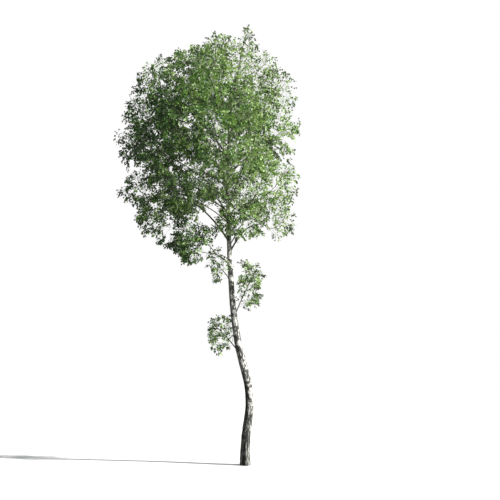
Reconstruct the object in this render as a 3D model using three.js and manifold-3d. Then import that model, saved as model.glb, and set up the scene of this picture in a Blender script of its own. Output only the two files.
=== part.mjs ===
// A young silver birch, nine metres tall: a trunk with a crook near its foot, tapering boughs that
// rise from it, and a full crown in separate masses of leafy twigs.
// Millimetres, +Z up, -Y to the front, +X to the side that the crook bulges towards. The origin is the
// middle of the flat cut at ground level.
import * as THREE from 'three';
import { mergeVertices } from 'three/addons/utils/BufferGeometryUtils.js';
import Module from 'manifold-3d';

const wasm = await Module();
wasm.setup();

// ---------------------------------------------------------------- driving dimensions

// The trunk's line: height, lean to +X, sway to +Y, and diameter.
const TRUNK_STATIONS = [
  [0, 0, 0, 200],
  [120, -6, 2, 180],
  [300, 0, 6, 170],
  [560, 16, 16, 159],
  [780, 50, 26, 157],
  [1000, 74, 30, 150],
  [1200, 68, 26, 146],
  [1400, 45, 16, 143],
  [1640, -14, 2, 144],
  [1860, -72, -10, 144],
  [2150, -140, -22, 138],
  [2500, -197, -24, 128],
  [2900, -248, -16, 116],
  [3300, -280, -4, 106],
  [3800, -316, 10, 92],
  [4400, -336, 20, 84],
  [5200, -362, 10, 76],
  [6000, -362, -15, 65],
  [6800, -315, -20, 53],
  [7500, -220, 0, 40],
  [8150, -130, 20, 24],
];
const TRUNK_SIDES = 10;
const TRUNK_STEP = 300; // height of one ring of faces
const FLARE = { lobes: 5, depth: 0.1, height: 130, turn: 0.5 }; // root swellings at the foot

const JOINT_GAP = 0.35; // clearance where two pieces meet
const FINEST_EDGE = 0.05;
const TWIG_CLEARANCE = 14; // between a twig or leaf and a limb of another piece
const BALL_SPACING = 25; // of the balls that stand for a limb where clearance is tested
const SPACE_MARGIN = 0.07; // between two masses' spaces, as a share of a mass's radius

const BOUGH_SIDES = 5;
const BOUGH_STEPS = 4;
const BOUGH_SLENDERNESS = 0.01; // radius at its foot, of its length
const BOUGH_THICKEST = 0.72; // of what bears it
const BOUGH_THINNEST = 0.38;
const BOUGH_TIP = 0.42; // of its diameter at the foot
const BOUGH_ENTERS = 0.78; // how far out in its mass a bough ends, as a share of the radius

const STEM_STEPS = 4;
const STEM_RADIUS = 12; // at its foot, at most
const STEM_THICKEST = 0.9; // of what bears it
const STEM_ARCH = 0.12; // of its length, for a stem that springs from the trunk
const STEM_REACHES = 0.62; // how far past the middle of its mass a stem goes, as a share of the radius
const STEM_TIP = 6;
const STEM_LEAD = 0.45; // of its length, that it goes on the way its bough points
const TWIG_THICKNESS = 0.48; // of its stem
const TWIG_TIP = 3.5;
const TWIG_SHORTEST = 70;
const TWIG_LENGTH_STEP = 20;
const TWIG_SPREAD = [0.5, 1.3]; // angles off the stem
const TWIGS_FROM = 0.85; // how far out in its mass the first twig stands, as a share of the radius
const TWIGS_END = 0.95; // share of the stem's length that bears twigs
const TWIG_PLACE = 0.3; // of a twig, in its share of that length
const TWIG_SAMPLES = 8; // places where a twig is tested
const STEM_SEARCH_STEP = 0.02; // of a stem's length
const TWIG_BLADE_ROOM = 0.8; // of a blade's length, kept free beyond a twig's end
const TWIG_TRIES = 30;

// A blade stands for a spray of leaves: birch outline, widest near its foot.
const BLADE_LENGTH = 0.95; // of its mass's mean radius
const BLADE_WIDTH = 0.78; // of its length
const BLADE_SHOULDER = 0.42; // where it is widest
const BLADE_THICKNESS = 0.025; // of its length
const BLADE_REACH = 0.6; // of its length: no part of it lies farther from its middle
const BLADE_SUNK = 0.12; // of its length, left out where blades and twigs are tested for crossing
const BLADE_ROOT = 0.3; // how far its foot lies past the twig's middle, of the twig's radius
const BLADE_ROLL = 0.15; // most turn of a blade out of the plane that holds its twig
const BLADE_SPREAD = [0.7, 1.3]; // angles off its twig
const LAST_BLADE_SPREAD = [0.25, 0.75]; // for a blade at the end of its twig
const LAST_BLADE_FROM = 0.9; // of its twig's length
const BLADES_ON_TWIG = [0.4, 0.7, 0.96];
const BLADES_ON_STEM = [0.8, 0.98];
const BLADE_TRIES = 40;
const BLADE_SIZES = [0.9, 1.1]; // of its length
const SMALLER_BLADE = 0.75; // of its length, in the second half of the tries
// Where a blade is tested against its space: its corners and the middles of its edges, as shares of half its
// width and of its length.
const BLADE_CORNERS = [
  [0, 1],
  [0, 0.5],
  [-1, BLADE_SHOULDER],
  [1, BLADE_SHOULDER],
  [-0.5, (1 + BLADE_SHOULDER) / 2],
  [0.5, (1 + BLADE_SHOULDER) / 2],
];

const FIRST_SEED = 100;
const TRUNK_LOOK = { color: 0xc9c5bc, roughness: 0.85 };
const BOUGH_LOOK = { color: 0x6f6a62, roughness: 0.85 };
const FOLIAGE_LOOK = { color: 0x4f7a35, roughness: 0.6 };

// The masses of foliage: middle [x, y, z], half size [width, depth, height], number of side twigs, and the
// height on the trunk that its bough leaves at, with the bough's arch: how far its middle lies above a
// straight line. A mass with no arch has no bough, and its own stem springs from the trunk there. A mass
// that forks has its bough leave another mass's bough, at a share of its length.
const MASSES = {
  top: { at: [30, 40, 8670], half: [150, 200, 410], twigs: 4, tip: true },
  crest: { at: [-520, -40, 8300], half: [460, 400, 410], twigs: 4, from: 7500 },
  left_peak: { at: [-1220, 200, 8120], half: [530, 500, 500], twigs: 5, from: 6500, arch: 120 },
  left_shoulder: { at: [-1810, -100, 7570], half: [470, 500, 490], twigs: 4, from: 5900, arch: 160 },
  right_shoulder: { at: [330, 200, 8060], half: [440, 420, 430], twigs: 4, from: 7000 },
  right_upper: { at: [600, -200, 7250], half: [470, 480, 480], twigs: 4, from: 6300, arch: 60 },
  left_upper: { at: [-2070, 200, 6940], half: [560, 540, 560], twigs: 5, from: 5450, arch: 150 },
  left_middle: { at: [-2020, -300, 6120], half: [540, 540, 540], twigs: 4, from: 4950, arch: 130 },
  left_low: { at: [-2085, 300, 5330], half: [545, 500, 440], twigs: 4, from: 4130, arch: 340 },
  right_middle: { at: [680, 200, 6580], half: [540, 520, 520], twigs: 4, from: 5600, arch: 70 },
  right_wide: { at: [580, -200, 5330], half: [580, 500, 600], twigs: 4, from: 4250, arch: 120 },
  left_ball: { at: [-985, -420, 3970], half: [455, 440, 530], twigs: 5, from: 3660, arch: 60 },
  left_hanging: {
    at: [-1690, -80, 4600],
    half: [560, 440, 530],
    twigs: 4,
    fork: 'left_ball',
    share: 0.6,
    arch: 120,
  },
  right_hanging: { at: [650, 50, 4600], half: [320, 340, 460], twigs: 3, from: 3900, arch: 260 },
  right_low: { at: [10, -350, 4470], half: [340, 420, 510], twigs: 4, from: 4030 },
  trunk_spray: { at: [-490, -80, 3560], half: [210, 230, 400], twigs: 3, from: 3340 },
  right_clump: { at: [80, -80, 3250], half: [290, 290, 520], twigs: 4, from: 2640 },
  left_clump: { at: [-470, 60, 2340], half: [330, 310, 480], twigs: 4, from: 1930 },
  front_crest: { at: [-560, -930, 7210], half: [580, 520, 570], twigs: 3, from: 6350 },
  front_right_upper: { at: [120, -990, 6450], half: [540, 520, 540], twigs: 3, from: 5750 },
  front_left_upper: { at: [-1280, -990, 6500], half: [600, 540, 560], twigs: 3, from: 5600, arch: 110 },
  front_middle: { at: [-580, -1380, 5900], half: [540, 480, 520], twigs: 3, from: 5150 },
  front_left: { at: [-1420, -1080, 5480], half: [580, 520, 540], twigs: 3, from: 4700, arch: 120 },
  front_right: { at: [60, -1180, 5400], half: [540, 500, 520], twigs: 3, from: 4800 },
  front_low: { at: [-640, -1060, 5000], half: [460, 440, 420], twigs: 3, from: 4400 },
  front_left_low: { at: [-1200, -950, 4750], half: [440, 420, 400], twigs: 3, from: 4520 },
  back_crest: { at: [-820, 850, 7980], half: [580, 520, 560], twigs: 3, from: 7100 },
  back_right_upper: { at: [-60, 950, 7480], half: [560, 520, 540], twigs: 3, from: 6650 },
  back_left_upper: { at: [-1600, 990, 7350], half: [580, 540, 560], twigs: 3, from: 6150, arch: 110 },
  back_middle: { at: [-860, 1380, 6800], half: [580, 540, 560], twigs: 3, from: 5850, arch: 90 },
  back_right: { at: [180, 1150, 6450], half: [580, 540, 560], twigs: 3, from: 5500, arch: 80 },
  back_left: { at: [-1700, 1180, 6280], half: [600, 540, 560], twigs: 3, from: 5250, arch: 120 },
  back_right_low: { at: [180, 1150, 5450], half: [540, 500, 500], twigs: 3, from: 4650 },
  back_left_low: { at: [-1400, 1080, 5480], half: [540, 500, 430], twigs: 3, from: 4740, arch: 110 },
  back_low: { at: [-600, 1250, 5800], half: [500, 480, 500], twigs: 3, from: 5050 },
  inner_top: { at: [-240, 100, 7800], half: [480, 440, 500], twigs: 3, from: 7250 },
  inner_upper_left: { at: [-960, -40, 7180], half: [540, 500, 520], twigs: 3, from: 6750 },
  inner_upper_right: { at: [80, 120, 6880], half: [520, 500, 500], twigs: 3, from: 6480 },
  inner_left: { at: [-1180, 60, 6260], half: [560, 520, 520], twigs: 3, from: 5780 },
  inner_right: { at: [100, -80, 5900], half: [520, 500, 500], twigs: 3, from: 5480 },
  inner_low: { at: [-370, -260, 4500], half: [210, 300, 360], twigs: 3, from: 4330 },
};

// ---------------------------------------------------------------- small helpers

// Repeatable random numbers from 0 to 1 (the mulberry32 generator).
function seeded(seed) {
  let state = seed >>> 0;
  return () => {
    state = (state + 0x6d2b79f5) >>> 0;
    let t = state;
    t = Math.imul(t ^ (t >>> 15), t | 1);
    t ^= t + Math.imul(t ^ (t >>> 7), t | 61);
    return ((t ^ (t >>> 14)) >>> 0) / 4294967296;
  };
}

// Smooth value at a height, from rows of [height, ...values].
function valuesAt(rows, height) {
  const last = rows.length - 1;
  let k = 0;
  while (k < last - 1 && rows[k + 1][0] < height) k += 1;
  const slope = (i, column) => {
    const before = rows[Math.max(i - 1, 0)];
    const after = rows[Math.min(i + 1, last)];
    return (after[column] - before[column]) / (after[0] - before[0]);
  };
  const span = rows[k + 1][0] - rows[k][0];
  const t = (height - rows[k][0]) / span;
  return rows[k].slice(1).map((value, i) => {
    const column = i + 1;
    return (
      (2 * t ** 3 - 3 * t ** 2 + 1) * value +
      (t ** 3 - 2 * t ** 2 + t) * span * slope(k, column) +
      (3 * t ** 2 - 2 * t ** 3) * rows[k + 1][column] +
      (t ** 3 - t ** 2) * span * slope(k + 1, column)
    );
  });
}

// A closed geometry as a manifold-3d solid.
function solidOf(geometry) {
  const bare = geometry.index ? geometry.toNonIndexed() : geometry.clone();
  bare.deleteAttribute('normal');
  bare.deleteAttribute('uv');
  const merged = mergeVertices(bare, 1e-3);
  return new wasm.Manifold(
    new wasm.Mesh({
      numProp: 3,
      vertProperties: new Float32Array(merged.attributes.position.array),
      triVerts: new Uint32Array(merged.index.array),
    }),
  );
}

// A manifold-3d solid as a geometry.
function geometryOf(solid) {
  const { numProp, vertProperties, triVerts } = solid.getMesh();
  const count = vertProperties.length / numProp;
  const position = new Float32Array(count * 3);
  for (let i = 0; i < count; i += 1) {
    position.set(vertProperties.subarray(i * numProp, i * numProp + 3), i * 3);
  }
  const geometry = new THREE.BufferGeometry();
  geometry.setAttribute('position', new THREE.BufferAttribute(position, 3));
  geometry.setIndex(new THREE.BufferAttribute(new Uint32Array(triVerts), 1));
  return geometry;
}

// The largest body of a solid, rid of its finest edges, so that no cut leaves a loose scrap.
function largestBody(solid) {
  const settled = solidOf(geometryOf(solid.simplify(FINEST_EDGE)));
  return settled.decompose().sort((a, b) => b.volume() - a.volume())[0];
}

// A named mesh of a solid, placed by its position at a point of its own.
function namedMesh(name, solid, origin, { color, roughness }) {
  const geometry = geometryOf(solid);
  geometry.translate(-origin.x, -origin.y, -origin.z);
  geometry.computeVertexNormals();
  const mesh = new THREE.Mesh(geometry, new THREE.MeshStandardMaterial({ color, roughness, metalness: 0 }));
  mesh.name = name;
  mesh.position.copy(origin);
  return mesh;
}

// ---------------------------------------------------------------- trunk, boughs and stems

const TRUNK_TOP = TRUNK_STATIONS[TRUNK_STATIONS.length - 1][0];

function trunkPoint(height) {
  const [x, y] = valuesAt(TRUNK_STATIONS, height);
  return new THREE.Vector3(x, y, height);
}

function trunkRadius(height) {
  return valuesAt(TRUNK_STATIONS, height)[2] / 2;
}

// The trunk, grown all round by an amount so that it can cut what meets it.
function trunkSolid(grown) {
  const steps = Math.round(TRUNK_TOP / TRUNK_STEP);
  const tube = new THREE.CylinderGeometry(1, 1, 1, TRUNK_SIDES, steps);
  tube.rotateX(Math.PI / 2);
  const position = tube.attributes.position;
  for (let i = 0; i < position.count; i += 1) {
    const share = position.getZ(i) + 0.5;
    const height = share * TRUNK_TOP;
    const around = Math.atan2(position.getY(i), position.getX(i));
    const swelling = Math.cos(FLARE.lobes * around + FLARE.turn) * Math.exp(-height / FLARE.height);
    const radius = trunkRadius(height) * (1 + FLARE.depth * swelling) + grown;
    const out = Math.hypot(position.getX(i), position.getY(i)) * radius;
    const centre = trunkPoint(height);
    const z = grown ? height + (share - 0.5) * 2 * grown : height;
    position.setXYZ(i, centre.x + out * Math.cos(around), centre.y + out * Math.sin(around), z);
  }
  return solidOf(tube);
}

// A place on a limb, as it is drawn: straight from each ring to the next.
function placeOn({ curve, steps }, t) {
  const ring = Math.min(Math.floor(t * steps), steps - 1);
  const from = curve.getPoint(ring / steps);
  const to = curve.getPoint((ring + 1) / steps);
  const heading = to.clone().sub(from).normalize();
  return { point: from.lerp(to, t * steps - ring), heading };
}

function radiusOn({ foot, tip }, t) {
  return foot + (tip - foot) * t;
}

// A tapering limb along a curve, closed at both ends.
function limbSolid(limb, sides) {
  const { curve, steps } = limb;
  const tube = new THREE.CylinderGeometry(1, 1, 1, sides, steps);
  const frames = curve.computeFrenetFrames(steps, false);
  const position = tube.attributes.position;
  for (let i = 0; i < position.count; i += 1) {
    const t = position.getY(i) + 0.5;
    const ring = Math.round(t * steps);
    const radius = radiusOn(limb, t);
    const place = curve
      .getPoint(t)
      .addScaledVector(frames.normals[ring], -position.getX(i) * radius)
      .addScaledVector(frames.binormals[ring], position.getZ(i) * radius);
    position.setXYZ(i, place.x, place.y, place.z);
  }
  const solid = solidOf(tube);
  return solid.volume() > 0 ? solid : solidOf(turnedInsideOut(tube));
}

function turnedInsideOut(geometry) {
  const index = geometry.index.array;
  for (let i = 0; i < index.length; i += 3) {
    [index[i + 1], index[i + 2]] = [index[i + 2], index[i + 1]];
  }
  return geometry;
}

// A bough, grown all round by the joint's gap so that it can cut what forks from it.
function grownBough(bough) {
  const more = JOINT_GAP / Math.cos(Math.PI / BOUGH_SIDES);
  return limbSolid({ ...bough, foot: bough.foot + more, tip: bough.tip + more }, BOUGH_SIDES);
}

// How far out a point lies in a mass's space: 0 in the middle, 1 at its edge.
function depthIn(mass, point) {
  return Math.hypot(
    (point.x - mass.at[0]) / mass.half[0],
    (point.y - mass.at[1]) / mass.half[1],
    (point.z - mass.at[2]) / mass.half[2],
  );
}

function meanRadius(mass) {
  return (mass.half[0] + mass.half[1] + mass.half[2]) / 3;
}

// The bough of a mass, from inside what bears it, the trunk or another bough, to where it enters the mass.
function boughOf(mass, limbs) {
  const parent = mass.fork && limbs[mass.fork].bough;
  const start = parent ? placeOn(parent, mass.share).point : trunkPoint(mass.from);
  const bearer = parent ? radiusOn(parent, mass.share) : trunkRadius(mass.from);
  const end = new THREE.Vector3(...mass.at).lerp(start, BOUGH_ENTERS / depthIn(mass, start));
  const control = start.clone().lerp(end, 0.5);
  control.z += 2 * mass.arch;
  const curve = new THREE.QuadraticBezierCurve3(start, control, end);
  const slender = Math.min(bearer * BOUGH_THICKEST, curve.getLength() * BOUGH_SLENDERNESS);
  const foot = Math.max(slender, bearer * BOUGH_THINNEST);
  return { curve, steps: BOUGH_STEPS, foot, tip: foot * BOUGH_TIP };
}

// The stem of a mass: on from the tip of its bough or of the trunk, or straight out of the trunk's side.
function stemOf(mass, bough) {
  let start = trunkPoint(mass.from ?? TRUNK_TOP);
  let heading = new THREE.Vector3(0, 0, 1);
  let radius = trunkRadius(mass.from ?? TRUNK_TOP);
  if (bough) {
    start = bough.curve.getPoint(1);
    heading = bough.curve.getTangent(1);
    radius = bough.tip;
  }
  if (bough || mass.tip) start.addScaledVector(heading, JOINT_GAP);
  const end = new THREE.Vector3(...mass.at).lerp(start, -STEM_REACHES / depthIn(mass, start));
  const length = start.distanceTo(end);
  const control = start.clone();
  if (bough || mass.tip) {
    control.addScaledVector(heading, length * STEM_LEAD);
  } else {
    control.lerp(end, 0.5).z += length * STEM_ARCH;
  }
  const curve = new THREE.QuadraticBezierCurve3(start, control, end);
  return { curve, steps: STEM_STEPS, foot: Math.min(STEM_RADIUS, radius * STEM_THICKEST), tip: STEM_TIP };
}

// ---------------------------------------------------------------- foliage

// A limb as a row of balls, for the clearance test.
function ballsOf(limb, owner) {
  const count = Math.ceil(limb.curve.getLength() / BALL_SPACING);
  return Array.from({ length: count + 1 }, (_, i) => ({
    at: placeOn(limb, i / count).point,
    radius: radiusOn(limb, i / count),
    owner,
  }));
}

function keepsToItsSpace(name, points) {
  const mass = MASSES[name];
  return points.every((point) => {
    const depth = depthIn(mass, point);
    if (depth > 1) return false;
    return Object.entries(MASSES).every(
      ([other, its]) => other === name || depth + SPACE_MARGIN < depthIn(its, point),
    );
  });
}

function keepsClear(name, points, obstacles) {
  const others = obstacles.filter((ball) => ball.owner !== name);
  return points.every((point) =>
    others.every((ball) => ball.at.distanceTo(point) > ball.radius + TWIG_CLEARANCE),
  );
}

// Two directions square to a heading and to each other.
function crossways(heading) {
  const level = Math.abs(heading.z) > 0.9 ? new THREE.Vector3(1, 0, 0) : new THREE.Vector3(0, 0, 1);
  const side = new THREE.Vector3().crossVectors(heading, level).normalize();
  return [side, new THREE.Vector3().crossVectors(side, heading)];
}

// A heading turned off another by an angle, towards a compass turn round it.
function turnedOff(heading, angle, turn) {
  const [side, up] = crossways(heading);
  return heading
    .clone()
    .multiplyScalar(Math.cos(angle))
    .addScaledVector(side, Math.sin(angle) * Math.cos(turn))
    .addScaledVector(up, Math.sin(angle) * Math.sin(turn));
}

// The candidate that stands farthest from what is already there, or null when none is allowed.
function bestOf(tries, propose, taken) {
  let best = null;
  let room = -1;
  for (let i = 0; i < tries; i += 1) {
    const candidate = propose(i);
    if (!candidate) continue;
    const nearest = Math.min(...taken.map((point) => point.distanceTo(candidate.middle)));
    if (nearest > room) {
      room = nearest;
      best = candidate;
    }
  }
  return best;
}

// The side twigs of a stem. Each goes where the space is emptiest, as long as its space allows.
function twigsOf(name, stem, random, obstacles) {
  const mass = MASSES[name];
  const bladeRoom = BLADE_LENGTH * meanRadius(mass) * TWIG_BLADE_ROOM;
  let inside = 0;
  while (inside < TWIGS_END && depthIn(mass, placeOn(stem, inside).point) > TWIGS_FROM) {
    inside += STEM_SEARCH_STEP;
  }
  const taken = [placeOn(stem, 1).point];
  const twigs = [];
  for (let i = 0; i < mass.twigs; i += 1) {
    const t = inside + ((TWIGS_END - inside) * (i + TWIG_PLACE)) / mass.twigs;
    const { point: start, heading: onward } = placeOn(stem, t);
    const foot = radiusOn(stem, t) * TWIG_THICKNESS;
    const twig = bestOf(TWIG_TRIES, () => {
      const angle = TWIG_SPREAD[0] + (TWIG_SPREAD[1] - TWIG_SPREAD[0]) * random();
      const heading = turnedOff(onward, angle, random() * 2 * Math.PI);
      const ahead = (distance) => start.clone().addScaledVector(heading, distance);
      let length = TWIG_SHORTEST;
      while (keepsToItsSpace(name, [ahead(length + bladeRoom)])) length += TWIG_LENGTH_STEP;
      const curve = new THREE.LineCurve3(start, ahead(length));
      const points = curve.getPoints(TWIG_SAMPLES);
      if (!keepsToItsSpace(name, points.slice(1))) return null;
      if (!keepsClear(name, points, obstacles)) return null;
      return { curve, steps: 1, foot, tip: TWIG_TIP, middle: points[TWIG_SAMPLES] };
    }, taken);
    if (twig) {
      twigs.push(twig);
      taken.push(twig.middle);
    }
  }
  return twigs;
}

// A flat leaf blade with its foot at the origin, pointing to +Y, its face to +Z.
function bladeGeometry(length) {
  const blade = new THREE.OctahedronGeometry(1);
  const position = blade.attributes.position;
  for (let i = 0; i < position.count; i += 1) {
    const y = position.getY(i);
    const place = y < -0.5 ? 0 : y > 0.5 ? 1 : BLADE_SHOULDER;
    position.setXYZ(
      i,
      (position.getX(i) * BLADE_WIDTH * length) / 2,
      place * length,
      (position.getZ(i) * BLADE_THICKNESS * length) / 2,
    );
  }
  return blade;
}

// Whether a blade in its frame keeps clear of every limb that isn't its own.
function bladeKeepsClear(name, frame, size, obstacles) {
  const middle = new THREE.Vector3(0, size / 2, 0).applyMatrix4(frame);
  const toBlade = frame.clone().invert();
  const shoulder = BLADE_SHOULDER * size;
  return obstacles.every((ball) => {
    const reach = ball.radius + TWIG_CLEARANCE;
    if (ball.owner === name || ball.at.distanceTo(middle) > size * BLADE_REACH + reach) return true;
    const { x, y, z } = ball.at.clone().applyMatrix4(toBlade);
    const towardsFoot = (y + reach) / (shoulder + reach);
    const towardsTip = (size + reach - y) / (size + reach - shoulder);
    const halfWidth = Math.min(towardsFoot, towardsTip) * ((BLADE_WIDTH * size) / 2 + reach);
    return Math.abs(z) > reach || Math.abs(x) > halfWidth;
  });
}

// Whether any of the segments passes through any of the triangles.
function pierces(segments, triangles) {
  const ray = new THREE.Ray();
  const hit = new THREE.Vector3();
  return segments.some(([from, to]) => {
    ray.origin.copy(from);
    ray.direction.copy(to).sub(from).normalize();
    const length = from.distanceTo(to);
    return triangles.some(
      ([a, b, c]) => ray.intersectTriangle(a, b, c, false, hit) && hit.distanceTo(from) < length,
    );
  });
}

function segmentsOf(points) {
  return points.slice(1).map((point, i) => [points[i], point]);
}

// The edges and the two halves of a blade.
function outlineOf(frame, size) {
  const at = (x, y) => new THREE.Vector3((x * BLADE_WIDTH * size) / 2, y * size, 0).applyMatrix4(frame);
  const foot = at(0, BLADE_SUNK);
  const tip = at(0, 1);
  const right = at(1, BLADE_SHOULDER);
  const left = at(-1, BLADE_SHOULDER);
  return {
    edges: segmentsOf([foot, right, tip, left, foot]),
    halves: [
      [foot, right, left],
      [tip, left, right],
    ],
  };
}

// A blade on a twig, its foot sunk in the wood, set where there is most room. Gives null if none fits.
function bladeOn(name, twig, t, random, obstacles, blades, wood) {
  const radius = radiusOn(twig, t);
  const { point: foot, heading: onward } = placeOn(twig, t);
  const [least, most] = t > LAST_BLADE_FROM ? LAST_BLADE_SPREAD : BLADE_SPREAD;
  const fullLength = BLADE_LENGTH * meanRadius(MASSES[name]);
  return bestOf(BLADE_TRIES, (i) => {
    const heading = turnedOff(onward, least + (most - least) * random(), random() * 2 * Math.PI);
    const level = onward.clone().cross(heading).normalize();
    const roll = BLADE_ROLL * (2 * random() - 1);
    const normal = level.applyAxisAngle(heading, roll);
    const width = new THREE.Vector3().crossVectors(heading, normal);
    const start = foot.clone().addScaledVector(heading, -BLADE_ROOT * radius);
    const share = BLADE_SIZES[0] + (BLADE_SIZES[1] - BLADE_SIZES[0]) * random();
    const size = fullLength * share * (i < BLADE_TRIES / 2 ? 1 : SMALLER_BLADE);
    const frame = new THREE.Matrix4().makeBasis(width, heading, normal).setPosition(start);
    const outline = BLADE_CORNERS.map(([x, y]) =>
      new THREE.Vector3((x * BLADE_WIDTH * size) / 2, y * size, 0).applyMatrix4(frame),
    );
    if (!keepsToItsSpace(name, outline) || !bladeKeepsClear(name, frame, size, obstacles)) return null;
    const { edges, halves } = outlineOf(frame, size);
    if (pierces(wood, halves)) return null;
    const crossed = blades.some((other) => pierces(edges, other.halves) || pierces(other.edges, halves));
    return crossed ? null : { frame, size, edges, halves, middle: outline[1] };
  }, blades.map((blade) => blade.middle));
}

// One mass of foliage: its stem, side twigs and blades fused into one body.
function foliageSolid(name, seed, stem, obstacles) {
  const random = seeded(seed);
  const mass = MASSES[name];
  const middle = new THREE.Vector3(...mass.at);
  const near = obstacles.filter((ball) => ball.at.distanceTo(middle) < 2 * Math.max(...mass.half));
  const twigs = twigsOf(name, stem, random, near);
  const pieces = [stem, ...twigs].map((limb) => limbSolid(limb, 3));
  const slots = twigs.flatMap((twig) => BLADES_ON_TWIG.map((t) => [twig, t]));
  slots.push(...BLADES_ON_STEM.map((t) => [stem, t]));
  const wood = [stem, ...twigs].flatMap((limb) => segmentsOf(limb.curve.getPoints(limb.steps)));
  const blades = [];
  for (const [twig, t] of slots) {
    const blade = bladeOn(name, twig, t, random, near, blades, wood);
    if (!blade) continue;
    blades.push(blade);
    pieces.push(solidOf(bladeGeometry(blade.size).applyMatrix4(blade.frame)));
  }
  return wasm.Manifold.union(pieces);
}

// ---------------------------------------------------------------- the tree

function makeTree() {
  const tree = new THREE.Group();
  const boughs = new THREE.Group();
  const foliage = new THREE.Group();
  tree.name = 'birch_tree';
  tree.add(namedMesh('trunk', trunkSolid(0), trunkPoint(0), TRUNK_LOOK), boughs, foliage);

  const limbs = {};
  for (const [name, mass] of Object.entries(MASSES)) {
    const bough = mass.arch === undefined ? null : boughOf(mass, limbs);
    limbs[name] = { bough, stem: stemOf(mass, bough) };
  }
  const obstacles = Object.entries(limbs).flatMap(([name, { bough, stem }]) => [
    ...ballsOf(stem, name),
    ...(bough ? ballsOf(bough, `bough_${name}`) : []),
  ]);
  for (let height = 0; height < TRUNK_TOP; height += BALL_SPACING) {
    obstacles.push({ at: trunkPoint(height), radius: trunkRadius(height), owner: 'trunk' });
  }

  const trunkCutter = trunkSolid(JOINT_GAP);
  Object.entries(limbs).forEach(([name, { bough, stem }], i) => {
    const mass = MASSES[name];
    if (bough) {
      const cutter = mass.fork ? grownBough(limbs[mass.fork].bough) : trunkCutter;
      const solid = largestBody(limbSolid(bough, BOUGH_SIDES).subtract(cutter));
      boughs.add(namedMesh(`bough_${name}`, solid, bough.curve.getPoint(0), BOUGH_LOOK));
    }
    const solid = largestBody(foliageSolid(name, FIRST_SEED + i, stem, obstacles).subtract(trunkCutter));
    foliage.add(namedMesh(`foliage_${name}`, solid, new THREE.Vector3(...mass.at), FOLIAGE_LOOK));
  });
  return tree;
}

export default makeTree();
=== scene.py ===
"""A young silver birch: bark with its relief on the trunk and boughs, fine twigs, and leaves in sprays.

The limbs and the spaces of the masses of foliage follow the part's own rule, worked out again here in
millimetres. Meshes are made in metres.
"""

import math

import bpy
import numpy as np
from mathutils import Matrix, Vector, noise


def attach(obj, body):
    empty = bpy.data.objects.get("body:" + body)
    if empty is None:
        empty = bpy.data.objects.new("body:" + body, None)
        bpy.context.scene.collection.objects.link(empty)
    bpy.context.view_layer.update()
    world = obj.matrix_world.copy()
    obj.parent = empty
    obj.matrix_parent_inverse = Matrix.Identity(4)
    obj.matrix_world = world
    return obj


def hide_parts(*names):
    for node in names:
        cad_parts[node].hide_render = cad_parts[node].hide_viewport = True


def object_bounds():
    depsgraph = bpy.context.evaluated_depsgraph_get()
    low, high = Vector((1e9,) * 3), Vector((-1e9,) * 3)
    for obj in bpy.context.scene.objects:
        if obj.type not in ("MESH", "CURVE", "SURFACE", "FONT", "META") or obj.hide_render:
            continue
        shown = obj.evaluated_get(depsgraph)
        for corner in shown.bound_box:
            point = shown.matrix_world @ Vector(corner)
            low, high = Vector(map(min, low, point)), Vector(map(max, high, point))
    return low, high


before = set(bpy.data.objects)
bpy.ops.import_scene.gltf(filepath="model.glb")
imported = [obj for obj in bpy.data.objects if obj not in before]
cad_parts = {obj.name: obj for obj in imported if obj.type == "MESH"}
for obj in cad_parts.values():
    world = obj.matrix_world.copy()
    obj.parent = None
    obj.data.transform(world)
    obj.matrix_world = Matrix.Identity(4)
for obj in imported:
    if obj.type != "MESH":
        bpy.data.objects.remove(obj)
cad_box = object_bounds()

METRES = 0.001
GOLDEN_ANGLE = math.pi * (3 - math.sqrt(5))
NEARLY_UPRIGHT = 0.9  # the rise of a heading from which its sides are found by +X and not by +Z

# ---------------- sizes shared with the part

# The trunk's line: height, lean to +X, sway to +Y, and diameter.
TRUNK_STATIONS = [
    [0, 0, 0, 200],
    [120, -6, 2, 180],
    [300, 0, 6, 170],
    [560, 16, 16, 159],
    [780, 50, 26, 157],
    [1000, 74, 30, 150],
    [1200, 68, 26, 146],
    [1400, 45, 16, 143],
    [1640, -14, 2, 144],
    [1860, -72, -10, 144],
    [2150, -140, -22, 138],
    [2500, -197, -24, 128],
    [2900, -248, -16, 116],
    [3300, -280, -4, 106],
    [3800, -316, 10, 92],
    [4400, -336, 20, 84],
    [5200, -362, 10, 76],
    [6000, -362, -15, 65],
    [6800, -315, -20, 53],
    [7500, -220, 0, 40],
    [8150, -130, 20, 24],
]
TRUNK_TOP = TRUNK_STATIONS[-1][0]
FLARE = {"lobes": 5, "depth": 0.1, "height": 130, "turn": 0.5}

JOINT_GAP = 0.35
TWIG_CLEARANCE = 14
BALL_SPACING = 25
SPACE_MARGIN = 0.07

BOUGH_STEPS = 4
BOUGH_SLENDERNESS = 0.01
BOUGH_THICKEST = 0.72
BOUGH_THINNEST = 0.38
BOUGH_TIP = 0.42
BOUGH_ENTERS = 0.78

STEM_STEPS = 4
STEM_RADIUS = 12
STEM_THICKEST = 0.9
STEM_ARCH = 0.12
STEM_REACHES = 0.62
STEM_TIP = 6
STEM_LEAD = 0.45

TWIG_THICKNESS = 0.48
TWIG_TIP = 3.5
TWIG_SHORTEST = 70
TWIG_LENGTH_STEP = 20
TWIG_SPREAD = (0.5, 1.3)
TWIGS_FROM = 0.85
TWIGS_END = 0.95
TWIG_PLACE = 0.3
TWIG_SAMPLES = 8
STEM_SEARCH_STEP = 0.02
TWIG_TRIES = 30
TWIG_ROOM = 0.95 * 0.8  # kept free beyond a twig's end, of its mass's mean radius

FIRST_SEED = 100

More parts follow.
